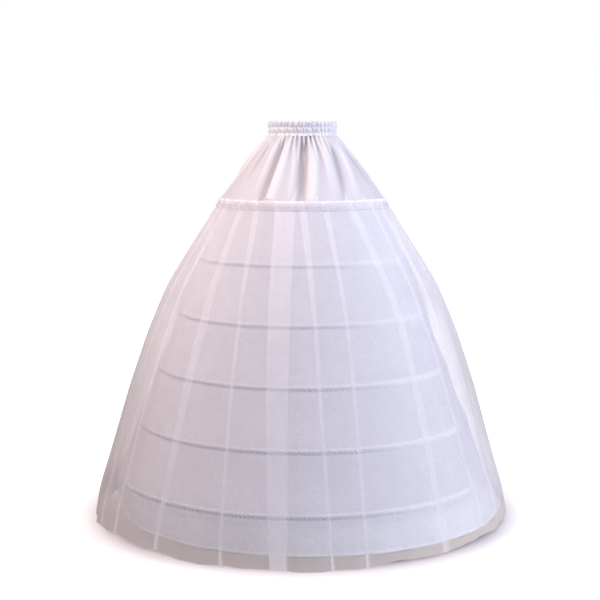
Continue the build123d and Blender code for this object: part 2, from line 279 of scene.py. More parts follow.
# Where down the drop the sides grow dense and grey with painted shade, and where the painted shade on the
# right side eases again
SIDE_GROWS_SHARES = (0.02, 0.2)
LEFT_SHADE_SHARES = (0.2, 0.5)
RIGHT_SHADE_SHARES = (0.05, 0.4)
RIGHT_SHADE_EASES_SHARES = (0.55, 0.3)
RIGHT_SHADE_EASING = 0.55
# Painted shade on the net where it hangs free below the lining's hem
NET_HEM_SHADE = 0.72
# How much thinner a pleat's own layers are than the plain net, where it is gathered and in the heading
PLEAT_THINNING = 0.4
HEADING_THINNING = 0.5
# Painted highlight that whitens the net at the top, in a pleat, with the drop, at the free hem and along a
# crease
UPPER_HIGHLIGHT = 0.45
PLEAT_HIGHLIGHT = 0.08
DROP_HIGHLIGHT = 0.26
NET_HEM_HIGHLIGHT = 0.2
CREASE_HIGHLIGHT = 0.4
# Painted highlight on the heading, what its roll adds, and how much of the other painted highlight it hides
HEADING_HIGHLIGHT = 0.2
ROLL_HIGHLIGHT = 0.7
HEADING_HIDES = 0.6
# Height above the lining's hem where the net turns dense, how softly, and the warmth of its painted shade,
# at the same angles
HEM_SHOWS = (0.013, 0.02, 0.05, 0.085, 0.024, 0.0135, 0.0095, 0.008, 0.015, 0.02, 0.016, 0.013)
HEM_BLEND = 0.003
HEM_SHADE_WARMTH_SHARES = (0.7, 0.3, 0.1, 0.1, 0.35, 0.6, 0.85, 1.0, 1.0, 0.8, 0.8, 0.7)
# Heading: a rolled top edge and a gathering stitch below the top tape, drawn tight in front
HEADING_ROLL = 0.0022
HEADING_ROLL_ROWS = 7
HEADING_SLOPE_SHARES = (0.3, 0.5, 0.75)
HEADING_END_SHARES = (0.008, 0.006)
HEADING_STITCH_DROP = 0.0265
HEADING_STITCH_HALF = 0.0016
HEADING_PINCH = 0.0016
STITCH_ANGLES = (-180.0, -60.0, -36.0, 16.0, 44.0, 180.0)
STITCH_SHARES = (0.35, 0.35, 0.8, 0.8, 0.35, 0.35)
STITCHES = 90
STITCH_MOST = 0.9
KNOT_ANGLES = (-3.8, 14.0)
KNOT_HALF = 1.3
HEADING_SHARES = (0.0065, 0.0082, 0.0096, 0.0109, 0.0122, 0.0136, 0.0155, 0.0185)

# Colours. The woven cloths have four: a light and a darker tone that drift at random, a painted highlight on
# edges and ridge tops, and a painted shade in folds.
WHITE = (1, 1, 1, 1)
WAIST_COLOURS = ((0.88, 0.86, 0.88, 1), (0.82, 0.80, 0.84, 1), (0.97, 0.96, 0.98, 1), (0.52, 0.53, 0.64, 1))
YOKE_COLOURS = (
    (0.775, 0.755, 0.775, 1), (0.735, 0.715, 0.745, 1), (0.92, 0.91, 0.92, 1), (0.52, 0.48, 0.52, 1)
)
LINING_COLOURS = ((0.67, 0.66, 0.69, 1), (0.64, 0.63, 0.675, 1), (0.92, 0.92, 0.94, 1), (0.6, 0.6, 0.65, 1))
TAPE_COLOURS = ((0.72, 0.71, 0.74, 1), (0.69, 0.68, 0.715, 1))
# Painted highlight where the steel line is faint, the steel line darkened into painted shade, and the
# stitches
TAPE_HIGHLIGHT_COLOUR = (0.80, 0.80, 0.815, 1)
TAPE_STEEL_SHADE_COLOUR = (0.15, 0.19, 0.28, 1)
TAPE_STITCH_COLOUR = (0.40, 0.40, 0.47, 1)
NET_COLOURS = ((0.75, 0.72, 0.745, 1), (0.70, 0.68, 0.715, 1))
# Painted shade that greys the net at the sides and free hem, and its warm tint at the hem
NET_SHADE_COLOUR = (0.565, 0.53, 0.535, 1)
NET_HEM_SHADE_COLOUR = (0.635, 0.565, 0.51, 1)
# Painted highlight of the net
NET_HIGHLIGHT_COLOUR = (0.99, 0.98, 1.0, 1)
NET_STITCH_COLOUR = (0.40, 0.42, 0.50, 1)
ELASTIC_COLOURS = ((0.86, 0.85, 0.83, 1), (0.74, 0.73, 0.71, 1))
HOOP_COLOUR = (0.80, 0.80, 0.78, 1)
CONNECTOR_COLOUR = (0.62, 0.62, 0.64, 1)
FLOOR_COLOURS = ((0.86, 0.83, 0.82, 1), (0.90, 0.87, 0.86, 1))
# Painted shadow on the floor under the part
FLOOR_SHADOW_COLOUR = (0.58, 0.56, 0.56, 1)

# Fineness: clouds, fibres, cells and marks for each metre, then the pitch and relief of threads and ribs
CLOTH_CLOUDS = 9.0
CLOTH_FIBRES = 260.0
TAPE_CLOUDS = 30.0
TAPE_FIBRES = 320.0
NET_CLOUDS = 12.0
NET_CELLS = 620.0
STEEL_STAINS = 60.0
STEEL_STREAKS = 900.0
ELASTIC_FIBRES = 700.0
FLOOR_CLOUDS = 3.0
CLOUD_RANGE = (0.3, 0.7)
WAIST_THREAD = 0.0006
YOKE_THREAD = 0.0006
LINING_THREAD = 0.0008
TAPE_THREAD = 0.0007
ELASTIC_RIB = 0.0016
TAPE_RELIEF = 0.0003
ELASTIC_RELIEF = 0.0003
STEEL_RELIEF = 0.0001

# Camera and stage
CAMERA_PLACE = (-0.0075, -3.928, -0.033)
CAMERA_PITCH = 7.17
CAMERA_LENS = 79.86
CAMERA_SENSOR = 36.0
NET_LAYERS_SEEN = 32
FLOOR_GAP = 0.0025
FLOOR_HALF_SIZE = 14.0
# Painted shadow on the floor: where it starts to fade and where it is gone. Then where the floor starts to
# glow and where it glows white
FLOOR_SHADOW_RADIUS = 0.56
FLOOR_SHADOW_END_RADIUS = 0.66
FLOOR_SHADE_RADIUS = 0.58
FLOOR_WHITE_RADIUS = 0.96
# Name, place, point aimed at, side of the square lamp, power and colour
LAMPS = (
    ("left_high", (-1.5, -0.9, 1.3), (-0.1, 0.0, -0.15), 1.2, 33.0, (1.0, 0.80, 0.73)),
    ("left_side", (-3.0, -0.9, 1.1), (-0.1, 0.0, -0.3), 1.8, 17.0, (1.0, 0.80, 0.81)),
    ("right_side", (3.2, -1.2, 0.5), (0.1, 0.0, -0.6), 2.4, 79.0, (0.63, 0.69, 0.96)),
    ("right_low", (2.6, -0.9, -0.2), (0.1, 0.0, -0.8), 1.8, 23.0, (1.0, 0.96, 0.84)),
    ("front", (0.0, -3.7, 1.5), (0.0, 0.0, -0.6), 2.6, 36.0, (0.64, 0.78, 1.0)),
    ("top", (0.1, -1.1, 2.0), (0.0, -0.1, -0.3), 1.8, 7.0, (0.98, 0.93, 1.0)),
    ("back", (0.0, 4.2, 1.2), (0.0, 0.0, -0.5), 2.6, 95.0, (0.97, 0.97, 1.0)),
)
AMBIENT = (0.265, 0.250, 0.262, 1)


def hoop_sizes():
    """Radius and height of each hoop's centre line, and the slope of the cone that the hoops lie on."""
    edges = []
    heights = []
    for number in range(1, HOOP_COUNT + 1):
        low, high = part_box(f"hoop_{number}")
        edges.append((high.x - low.x + high.y - low.y) / 4)
        heights.append((high.z + low.z) / 2)
    slope = math.atan2(edges[-1] - edges[0], heights[0] - heights[-1])
    inset = (STEEL_WIDTH * math.sin(slope) + STEEL_THICKNESS * math.cos(slope)) / 2
    return np.array(edges) - inset, np.array(heights), slope


HOOP_RADII, HOOP_HEIGHTS, SLOPE = hoop_sizes()
BAND_LOW, BAND_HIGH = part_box("waistband_casing")
ELASTIC_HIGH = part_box("waist_elastic")[1]
YOKE_LOW, YOKE_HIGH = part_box("yoke")
LINING_LOW, LINING_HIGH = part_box("lining_skirt")
NET_LOW, NET_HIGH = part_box("tulle_overskirt")
TOP_CHANNEL_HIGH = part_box("hoop_channel_1")[1]
# From a hoop's centre line in to the lining's outer face, square to the cloth
STEEL_INSET = STEEL_THICKNESS / 2 + SEAT_CLEARANCE
# Where the lining leaves the hoops' cone and flares to its hem
LINING_BREAK_HEIGHT = HOOP_HEIGHTS[-1] - LINING_BREAK


def smooth(share):
    """A soft step from 0 to 1."""
    x = np.clip(share, 0.0, 1.0)
    return x * x * (3.0 - 2.0 * x)


def step(share, start, run):
    """A soft step from 0 to 1 that begins at a start and is over after a run."""
    return smooth((share - start) / run)


def hump(offset, half):
    """A round hump that is 1 in its middle and falls away on both sides."""
    return np.exp(-((offset / half) ** 2))


def curve(x, xs, ys):
    """A smooth curve through points, without overshoot."""
    xs = np.asarray(xs, float)
    ys = np.asarray(ys, float)
    steps = np.diff(xs)
    slopes = np.diff(ys) / steps
    tangents = np.concatenate([slopes[:1], (slopes[1:] + slopes[:-1]) / 2, slopes[-1:]])
    turning = np.concatenate([[False], slopes[1:] * slopes[:-1] <= 0, [False]])
    tangents[turning] = 0.0
    x = np.clip(x, xs[0], xs[-1])
    k = np.clip(np.searchsorted(xs, x, side="right") - 1, 0, len(steps) - 1)
    h = steps[k]
    s = (x - xs[k]) / h
    return (
        ys[k] * (1 + 2 * s) * (1 - s) ** 2
        + h * tangents[k] * s * (1 - s) ** 2
        + ys[k + 1] * s**2 * (3 - 2 * s)
        - h * tangents[k + 1] * s**2 * (1 - s)
    )


def ripple(angle, count, seed, spread=0.35):
    """Uneven waves round the part, mostly between -1 and 1, about as many as asked for."""
    rng = np.random.default_rng(seed)
    turn = np.radians(angle)
    total = np.zeros_like(turn, dtype=float)
    weight = 0.0
    for _ in range(6):
        number = max(1, round(count * (1 + spread * rng.uniform(-1, 1))))
        size = rng.uniform(0.5, 1.0)
        total = total + size * np.cos(number * turn + rng.uniform(0, 2 * math.pi))
        weight += size
    return 1.8 * total / weight


def scallops(angle, count, seed):
    """Rounded bulges with sharp creases between them, between -1 and 1, unevenly spread round the part."""
    phase = np.radians(angle) * count + 1.9 * ripple(angle, 0.4 * count, seed)
    return 2.0 * np.abs(np.sin(phase / 2)) - 1.0


def away(angle, centre):
    """Signed distance in degrees from a centre angle."""
    return (angle - centre + FULL_TURN / 2) % FULL_TURN - FULL_TURN / 2


def place(angle, radius_x, radius_y, height):
    """Points round the part, from angles, radii and heights."""
    turn = np.radians(angle)
    return np.stack([radius_x * np.sin(turn), -radius_y * np.cos(turn), height + 0 * turn], axis=-1)


def even_angles(columns):
    """Angles of evenly spread columns, from the back round the front to the back."""
    return np.arange(columns) * FULL_TURN / columns - FULL_TURN / 2


def unit(vectors):
    """Vectors brought to length 1."""
    return vectors / np.linalg.norm(vectors, axis=1, keepdims=True)


def lean_shading(mesh, points, lean):
    """Turns the shading of a pleated cloth towards that of the smooth bell, and leans it along the folds."""
    own = np.empty(points.size, np.float32)
    mesh.vertex_normals.foreach_get("vector", own)
    own = own.reshape(-1, 3)
    level = points.reshape(-1, 3) * np.array([1.0, 1.0, 0.0])
    outward = unit(level) + np.array([0.0, 0.0, math.sin(SLOPE)])
    facing = np.tanh(12.0 * ((own * outward).sum(axis=1) + np.ravel(lean)))[:, None]
    blended = unit(own + NET_EVENNESS * facing * outward)
    mesh.normals_split_custom_set_from_vertices(blended.tolist())


def cloth(name, points, material, masks, lean=None):
    """A sheet of quads from rows of points that close round the part, with a map in metres and masks."""
    rows, columns = points.shape[:2]
    around = np.linalg.norm(np.roll(points, -1, axis=1) - points, axis=2)[rows // 2]
    u = np.concatenate([[0.0], np.cumsum(around)])
    down = np.linalg.norm(np.diff(points, axis=0), axis=2).mean(axis=1)
    v = np.concatenate([[0.0], np.cumsum(down)])
    row, column = np.meshgrid(np.arange(rows - 1), np.arange(columns), indexing="ij")
    corners = ((row, column), (row + 1, column), (row + 1, column + 1), (row, column + 1))
    faces = np.stack([r * columns + c % columns for r, c in corners], axis=-1).reshape(-1, 4)
    cloth_map = np.stack([np.stack([u[c], v[r]], axis=-1) for r, c in corners], axis=2)
    mesh = bpy.data.meshes.new(name)
    mesh.from_pydata(points.reshape(-1, 3).tolist(), [], faces.tolist())
    mesh.uv_layers.new(name="ClothMap").data.foreach_set("uv", cloth_map.astype(np.float32).ravel())
    for mask, values in masks.items():
        attribute = mesh.attributes.new(mask, "FLOAT", "POINT")
        attribute.data.foreach_set("value", np.asarray(values, np.float32).ravel())
    mesh.polygons.foreach_set("use_smooth", np.ones(len(mesh.polygons), bool))
    mesh.materials.append(material)
    mesh.update()
    if lean is not None:
        lean_shading(mesh, points, lean)
    piece = bpy.data.objects.new(name, mesh)
    bpy.context.scene.collection.objects.link(piece)
    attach(piece, "root")
    return piece


class Paint:
    """A short way to write a material's nodes."""

    def __init__(self, name):
        self.material = bpy.data.materials.new(name)
        self.material.use_nodes = True
        self.tree = self.material.node_tree
        self.shader = self.tree.nodes["Principled BSDF"]

    def put(self, value, socket):
        """Links an output to a socket, or sets a plain value there."""
        if isinstance(value, bpy.types.NodeSocket):
            self.tree.links.new(value, socket)
        else:
            socket.default_value = value

    def add(self, kind, inputs=None, **settings):
        """Adds a node with its inputs and settings."""
        node = self.tree.nodes.new(kind)
        for key, value in settings.items():
            setattr(node, key, value)
        for key, value in (inputs or {}).items():
            self.put(value, node.inputs[key])
        return node

    def calc(self, operation, first, second=0.0):
        return self.add("ShaderNodeMath", {0: first, 1: second}, operation=operation).outputs[0]

    def noise(self, vector, scale, detail):
        inputs = {"Vector": vector, "Scale": scale, "Detail": detail}
        return self.add("ShaderNodeTexNoise", inputs).outputs["Fac"]

    def remap(self, value, low, high, new_low=0.0, new_high=1.0):
        inputs = {0: value, 1: low, 2: high, 3: new_low, 4: new_high}
        return self.add("ShaderNodeMapRange", inputs, clamp=True).outputs[0]

    def mix(self, share, first, second):
        return self.add("ShaderNodeMix", {0: share, 6: first, 7: second}, data_type="RGBA").outputs[2]

    def clouded(self, cloud, light, shade):
        """A colour that drifts from light to shade with a noise."""
        return self.mix(self.remap(cloud, *CLOUD_RANGE), light, shade)

    def masked(self, name, below, colour):
        """A colour laid over another where the cloth's mask says so."""
        mask = self.add("ShaderNodeAttribute", attribute_name=name).outputs["Fac"]
        return self.mix(mask, below, colour)

    def cloth_map(self):
        return self.add("ShaderNodeUVMap", uv_map="ClothMap").outputs[0]

    def spot(self):
        return self.add("ShaderNodeTexCoord").outputs["Object"]

    def bump(self, height, strength, distance):
        inputs = {"Height": height, "Strength": strength, "Distance": distance}
        return self.add("ShaderNodeBump", inputs).outputs[0]

    def waves(self, value, pitch):
        return self.calc("SINE", self.calc("MULTIPLY", value, 2 * math.pi / pitch))

    def weave(self, pitch, fibre):
        """Height of a plain weave on the cloth map, threads across threads, roughened by fibres."""
        split = self.add("ShaderNodeSeparateXYZ", {0: self.cloth_map()})
        warp = self.waves(split.outputs[0], pitch)
        weft = self.waves(split.outputs[1], pitch)
        crossed = self.calc("MULTIPLY", warp, weft)
        return self.calc("ADD", self.calc("MULTIPLY", crossed, 0.5), fibre)

    def finish(self, **sockets):
        """Fills the shader's sockets and gives the material."""
        for key, value in sockets.items():
            self.put(value, self.shader.inputs[key.replace("_", " ")])
        return self.material


def woven_material(name, colours, pitch, roughness, sheen):
    """Opaque woven cloth: uneven colour, a fine weave, painted highlights on edges and ridge tops, and
    painted shade in folds.
    """
    light, shade, edge, fold = colours
    paint = Paint(name)
    fibre = paint.noise(paint.cloth_map(), CLOTH_FIBRES, 2.0)
    colour = paint.clouded(paint.noise(paint.cloth_map(), CLOTH_CLOUDS, 4.0), light, shade)
    # Painted highlight where the edge mask is set, painted shade where the fold mask is set
    colour = paint.masked("edge", colour, edge)
    colour = paint.masked("fold", colour, fold)
    return paint.finish(
        Base_Color=colour,
        Roughness=paint.remap(fibre, *CLOUD_RANGE, roughness - 0.06, roughness + 0.06),
        Normal=paint.bump(paint.weave(pitch, fibre), 0.25, 0.4 * pitch),
        Sheen_Weight=sheen,
        Sheen_Roughness=0.4,
        Specular_IOR_Level=0.3,
    )


def tape_material():
    """White woven tape over a steel strip, which shows through as a bluish line with slanting puckers; the
    line is darkened into painted shade under the hoop, and the tape is painted paler as a highlight where
    the line is faint.
    """
    paint = Paint("channel_tape_cloth")
    fibre = paint.noise(paint.cloth_map(), TAPE_FIBRES, 2.0)
    colour = paint.clouded(paint.noise(paint.cloth_map(), TAPE_CLOUDS, 3.0), *TAPE_COLOURS)
    # Painted highlight, then the steel line darkened into painted shade, then the stitches
    colour = paint.masked("pale", colour, TAPE_HIGHLIGHT_COLOUR)
    colour = paint.masked("steel", colour, TAPE_STEEL_SHADE_COLOUR)
    colour = paint.masked("stitch", colour, TAPE_STITCH_COLOUR)
    return paint.finish(
        Base_Color=colour,
        Roughness=0.72,
        Normal=paint.bump(paint.weave(TAPE_THREAD, fibre), 0.3, TAPE_RELIEF),
        Sheen_Weight=0.1,
        Specular_IOR_Level=0.25,
    )


def net_material():
    """Sheer net of fine cells: greyer with painted shade where it hangs free, a warm painted shade at the
    free hem, whiter with painted highlights in its pleats, dark at the stitches.
    """
    paint = Paint("sheer_net")
    inputs = {"Vector": paint.cloth_map(), "Scale": NET_CELLS, "Randomness": 0.9}
    cells = paint.add("ShaderNodeTexVoronoi", inputs, feature="DISTANCE_TO_EDGE").outputs["Distance"]
    thread = paint.remap(cells, 0.05, 0.22, 0.07, -0.05)
    cloud = paint.noise(paint.cloth_map(), NET_CLOUDS, 4.0)
    uneven = paint.calc("ADD", thread, paint.remap(cloud, 0.25, 0.75, -0.05, 0.05))
    cover = paint.add("ShaderNodeAttribute", attribute_name="cover").outputs["Fac"]
    colour = paint.clouded(cloud, *NET_COLOURS)
    # Painted shade at the sides and free hem, warm painted shade at the hem, painted highlights, then the
    # dark stitches
    colour = paint.masked("grey", colour, NET_SHADE_COLOUR)
    colour = paint.masked("warm", colour, NET_HEM_SHADE_COLOUR)
    colour = paint.masked("white", colour, NET_HIGHLIGHT_COLOUR)
    colour = paint.masked("stitch", colour, NET_STITCH_COLOUR)
    return paint.finish(
        Base_Color=colour,
        Roughness=0.8,
        Alpha=paint.remap(paint.calc("ADD", cover, uneven), 0.0, 1.0),
        Sheen_Weight=0.05,
        Specular_IOR_Level=0.15,
    )


def metal_material(name, colour, roughness):
    """Steel strip with fine rolling marks and small stains."""
    paint = Paint(name)
    stain = paint.noise(paint.spot(), STEEL_STAINS, 4.0)
    streak = paint.noise(paint.spot(), STEEL_STREAKS, 2.0)
    darker = tuple(0.75 * c for c in colour[:3]) + (1,)
    return paint.finish(
        Base_Color=paint.mix(paint.remap(stain, 0.35, 0.75), colour, darker),
        Roughness=paint.remap(stain, *CLOUD_RANGE, roughness - 0.08, roughness + 0.1),
        Metallic=1.0,
        Normal=paint.bump(streak, 0.15, STEEL_RELIEF),
    )


def elastic_material():
    """Ribbed woven elastic."""
    paint = Paint("ribbed_elastic")
    height = paint.add("ShaderNodeSeparateXYZ", {0: paint.spot()}).outputs[2]
    fibre = paint.noise(paint.spot(), ELASTIC_FIBRES, 2.0)
    return paint.finish(
        Base_Color=paint.clouded(fibre, *ELASTIC_COLOURS),
        Roughness=0.85,
        Normal=paint.bump(paint.waves(height, ELASTIC_RIB), 0.5, ELASTIC_RELIEF),
    )


def floor_material():
    """Pale matt floor with a painted shadow under the part, that glows brighter outwards into the white
    surroundings.
    """
    paint = Paint("studio_floor")
    distance = paint.add("ShaderNodeVectorMath", {0: paint.spot()}, operation="LENGTH").outputs["Value"]
    tone = paint.mix(paint.noise(paint.spot(), FLOOR_CLOUDS, 3.0), *FLOOR_COLOURS)
    # Painted shadow under the part
    lit = paint.remap(distance, FLOOR_SHADOW_RADIUS, FLOOR_SHADOW_END_RADIUS)
    return paint.finish(
        Base_Color=paint.mix(lit, FLOOR_SHADOW_COLOUR, tone),
        Roughness=0.9,
        Emission_Color=WHITE,
        Emission_Strength=paint.remap(distance, FLOOR_SHADE_RADIUS, FLOOR_WHITE_RADIUS),
        Specular_IOR_Level=0.1,
    )


def waistband(material):
    """A shirred casing, from the inner lower edge over the top fold to the frill on the outside."""
    angle = even_angles(BAND_COLUMNS)
    outer_x = ELASTIC_HIGH.x + BAND_SEAT
    outer_y = ELASTIC_HIGH.y + BAND_SEAT
    thick = ELASTIC_THICKNESS + 2 * BAND_SEAT
    height = BAND_HIGH.z - BAND_LOW.z
    rows = []
    edges = []
    folds = []

    # Each row also carries its painted highlight (edge) and its painted shade (fold)
    def add(offset, drop, edge, fold=0.0):
        """Adds a row of points, out from the elastic and down from the top edge."""
        rows.append(place(angle, outer_x + offset, outer_y + offset, BAND_HIGH.z - drop))
        edges.append(np.full(BAND_COLUMNS, edge))
        folds.append(np.zeros(BAND_COLUMNS) + fold)

    inner = scallops(angle, BAND_PUCKERS, 12)
    for share in np.linspace(1.0, BAND_INSIDE_END_SHARE, BAND_INSIDE_ROWS):
        pucker = 0.5 * BAND_CREASE * (1 + inner) * math.sin(math.pi * share)
        add(-thick - pucker, height * share, 0.0)
    tooth = BAND_TOOTH * scallops(angle, 2 * BAND_PUCKERS, 11)
    for turn in np.linspace(0.0, 1.0, BAND_FOLD_ROWS):
        top = math.sin(math.pi * turn)
        inside = (1 + math.cos(math.pi * turn)) / 2
        # Painted highlight along the top fold
        add(-thick * inside, BAND_STITCH_DROPS[0] * (1 - top) - tooth * top, 0.4)
    held = 0.25 * BAND_CREASE * scallops(angle, BAND_PUCKERS, 17)
    # Painted shade across the band's front
    drawn = 0.3 * hump(angle, BAND_FRONT_SHADE_HALF)
    for puff in range(len(BAND_STITCH_DROPS) - 1):
        upper = BAND_STITCH_DROPS[puff]
        lower = BAND_STITCH_DROPS[puff + 1]
        for share in np.linspace(0.0, 1.0, BAND_PUFF_ROWS):
            puffed = math.sin(math.pi * share) ** 0.7 if 0.0 < share < 1.0 else 0.0
            leaning = angle + BAND_SLANT * (share - 0.5) * (-1) ** puff
            puckers = scallops(leaning, BAND_PUCKERS, 13 + puff)
            fine = scallops(leaning, 2 * BAND_PUCKERS, 15 + puff)
            bulge = BAND_PUFF + BAND_CREASE * (puckers + 0.3 * fine)
            # Painted shade in the creases between puckers, added to the front's painted shade, and a painted
            # highlight along the stitch rows
            creased = drawn + 0.6 * puffed * np.clip(0.5 - puckers, 0.0, 1.0)
            pale = 0.7 * (1 - puffed) ** 2
            add(puffed * bulge + (1 - puffed) * held, upper + (lower - upper) * share, pale, creased)
    scallop = scallops(angle, FRILL_SCALLOPS, 18)
    sewn = BAND_STITCH_DROPS[-1]
    for share in np.linspace(FRILL_START_SHARE, 1.0, FRILL_ROWS):
        drop = sewn + (FRILL_DROP - sewn) * share * (1 + 0.18 * scallop)
        reach = FRILL_REACH * share * (0.55 + 0.45 * scallop)
        # Painted highlight towards the frill's edge, and painted shade between its scallops
        add(reach, drop, 0.8 * share**2, 0.5 * np.clip(-scallop, 0.0, 1.0))
    piece = cloth("waistband_cloth", np.array(rows), material, {"edge": edges, "fold": folds})
    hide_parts("waistband_casing")


def fold_height(angle, share, fold):
    """Height of one long yoke fold: a soft ridge or valley that leans, with a steep and a gentle side."""
    at_waist, at_foot, height, left, right, highest, gone = fold
    offset = away(angle, at_waist + (at_foot - at_waist) * share)
    reach = np.where(offset < 0, left, right) * (1.15 - 0.55 * share)
    grown = step(share, 0.0, highest) * (1 - step(share, highest, gone - highest))
    return height * grown * np.exp(-np.abs(offset / reach) ** 1.35)


def back_folds():
    """Long folds for the sides and back, which differ a little from each other."""
    rng = np.random.default_rng(21)
    first, last = BACK_FOLD_ARC
    folds = []
    for number in range(BACK_FOLDS):
        centre = first + (last - first) * (number + rng.uniform(-0.3, 0.3)) / (BACK_FOLDS - 1)
        height = BACK_FOLD_HEIGHT * rng.uniform(*BACK_FOLD_HEIGHT_SHARES) * (-1) ** number
        left, right = rng.uniform(*BACK_FOLD_REACHES, 2)
        highest = rng.uniform(*BACK_FOLD_HIGHEST_SHARES)
        gone = rng.uniform(*BACK_FOLD_GONE_SHARES)
        folds.append((centre, centre + rng.uniform(*BACK_FOLD_SWINGS), height, left, right, highest, gone))
    return tuple(folds)


def yoke_relief(angle, share, folds, gathers, fine):
    """How far the yoke stands out at a share of its drop: gathers, long folds and the tucks at its foot."""
    gathered = step(share, *GATHER_GROWS_SHARES) * (1 - step(share, *GATHER_FADES_SHARES))
    crimped = step(share, *FINE_GROWS_SHARES) * (1 - step(share, *FINE_FADES_SHARES))
    out = GATHER_DEPTH * gathers * gathered + FINE_GATHER_DEPTH * fine * crimped
    for fold in folds:
        out = out + fold_height(angle, share, fold)
    for centre, half, begins in RELEASE_TUCKS:
        offset = away(angle, centre + TUCK_SWING * (1 - share))
        out = out + TUCK_HEIGHT * step(share, begins, 1 - begins) * hump(offset, half)
    return out


def yoke(material):
    """The gathered yoke, from inside the waistband's lower edge to its lap over the lining."""
    angle = even_angles(YOKE_COLUMNS)
    waist_x = ELASTIC_HIGH.x - ELASTIC_THICKNESS / 2
    waist_y = ELASTIC_HIGH.y - ELASTIC_THICKNESS / 2
    foot = YOKE_HIGH.x - TUCK_HEIGHT / 4
    start = BAND_LOW.z
    folds = YOKE_FOLDS + back_folds()
    reach = YOKE_LEVEL_COLUMNS // 2
    gathers = 1.0 - 2.0 * np.abs(ripple(angle, GATHERS, 22, 0.3)) ** 0.8
    fine = 1.0 - 2.0 * np.abs(ripple(angle, FINE_GATHERS, 23, 0.3)) ** 0.8
    rows = [place(angle, waist_x, waist_y, start + YOKE_TUCK)]
    ridge_highlights = [np.zeros(YOKE_COLUMNS)]
    valley_shades = [np.zeros(YOKE_COLUMNS)]
    for share in np.linspace(0.0, 1.0, YOKE_ROWS):
        out = yoke_relief(angle, share, folds, gathers, fine)
        level = sum(np.roll(out, k) for k in range(-reach, reach + 1)) / (2 * reach + 1)
        # Painted highlight on the ridges, and painted shade in narrow valleys and deep folds
        ridge_highlights.append(0.8 * np.clip((out - level) / YOKE_RIDGE_HIGHLIGHT, 0.0, 1.0))
        sharp = 0.7 * np.clip((level - out) / YOKE_VALLEY_SHADE, 0.0, 1.0)
        valley_shades.append(np.minimum(1.0, sharp + 0.5 * np.clip(-out / YOKE_DEEP_SHADE, 0.0, 1.0)))
        out = out * (1 - 0.75 * step(share, *YOKE_FOOT_SHARES)) + YOKE_BLOOM * math.sin(math.pi * share)
        x = waist_x + (foot - waist_x) * share + out
        y = waist_y + (foot - waist_y) * share + out
        rows.append(place(angle, x, y, start + (LINING_HIGH.z - start) * share))
    rows.append(place(angle, YOKE_HIGH.x, YOKE_HIGH.x, YOKE_LOW.z))
    ridge_highlights.append(np.zeros(YOKE_COLUMNS))
    valley_shades.append(np.zeros(YOKE_COLUMNS))
    piece = cloth("yoke_cloth", np.array(rows), material, {"edge": ridge_highlights, "fold": valley_shades})
    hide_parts("yoke")


def lining_radius(height):
    """Radius of the lining's outer face: through the hoops, hollow between them, flared below the last."""
    top = HOOP_RADII[0] - STEEL_INSET / math.cos(SLOPE)
    straight = top + (HOOP_HEIGHTS[0] - height) * math.tan(SLOPE)
    if height < LINING_BREAK_HEIGHT:
        at_break = top + (HOOP_HEIGHTS[0] - LINING_BREAK_HEIGHT) * math.tan(SLOPE)
        return at_break + (LINING_HIGH.x - at_break) * below_break(height)
    phase = (HOOP_HEIGHTS[0] - height) / (HOOP_HEIGHTS[0] - HOOP_HEIGHTS[1])
    hollow = math.sin(math.pi * (phase % 1.0)) ** 2 if 0 < phase < HOOP_COUNT - 1 else 0.0
    return straight - LINING_SAG * hollow


def below_break(height):
    """Share of the way from where the lining flares down to its hem."""
    return max(0.0, (LINING_BREAK_HEIGHT - height) / (LINING_BREAK_HEIGHT - LINING_LOW.z))


def lining(material):
    """The opaque lining with soft upright ripples and a turned hem."""
    angle = even_angles(LINING_COLUMNS)
    outward = place(angle, 1.0, 1.0, 0.0)
    waves = ripple(angle, LINING_RIPPLES, 31)
    soft = ripple(angle, 0.4 * LINING_RIPPLES, 32)
    lean = LINING_LEAN * np.sin(np.radians(angle))
    rows = []
    edges = []
    for height in np.linspace(LINING_HIGH.z, LINING_LOW.z, LINING_ROWS):
        free = smooth(np.abs(HOOP_HEIGHTS - height).min() / LINING_FREE_REACH)
        below = below_break(height)
        rippled = LINING_RIPPLE * free * (0.5 * waves + soft - 1.0) * (1.0 + 1.5 * below)
        radius = lining_radius(height) + below * lean + rippled
        rows.append(place(angle, radius, radius, height))
        # Painted highlight: a bright line along the hem, and a lighter flare below the last hoop painted in
        # place of light from below
        pale = 1.0 if height < LINING_LOW.z + HEM_HIGHLIGHT_HEIGHT else 0.4 * min(1.0, 4 * below)
        edges.append(np.full(LINING_COLUMNS, pale))
    hem = rows[-1]
    # The hem's fold carries the same painted highlight
    for turn in HEM_FOLD_SHARES:
        sink = np.array([0.0, 0.0, -HEM_FOLD / 2 * math.sin(math.pi * turn)])
        rows.append(hem - outward * HEM_FOLD * (1 - math.cos(math.pi * turn)) / 2 + sink)
        edges.append(np.ones(LINING_COLUMNS))
    for row in range(1, HEM_TURN_ROWS + 1):
        rise = HEM_TURN * row / HEM_TURN_ROWS
        rows.append(hem - outward * (HEM_FOLD + rise * math.sin(SLOPE)) + np.array([0.0, 0.0, rise]))
        edges.append(np.zeros(LINING_COLUMNS))
    masks = {"edge": edges, "fold": np.zeros((len(rows), LINING_COLUMNS))}
    piece = cloth("lining_cloth", np.array(rows), material, masks)
    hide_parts("lining_skirt")


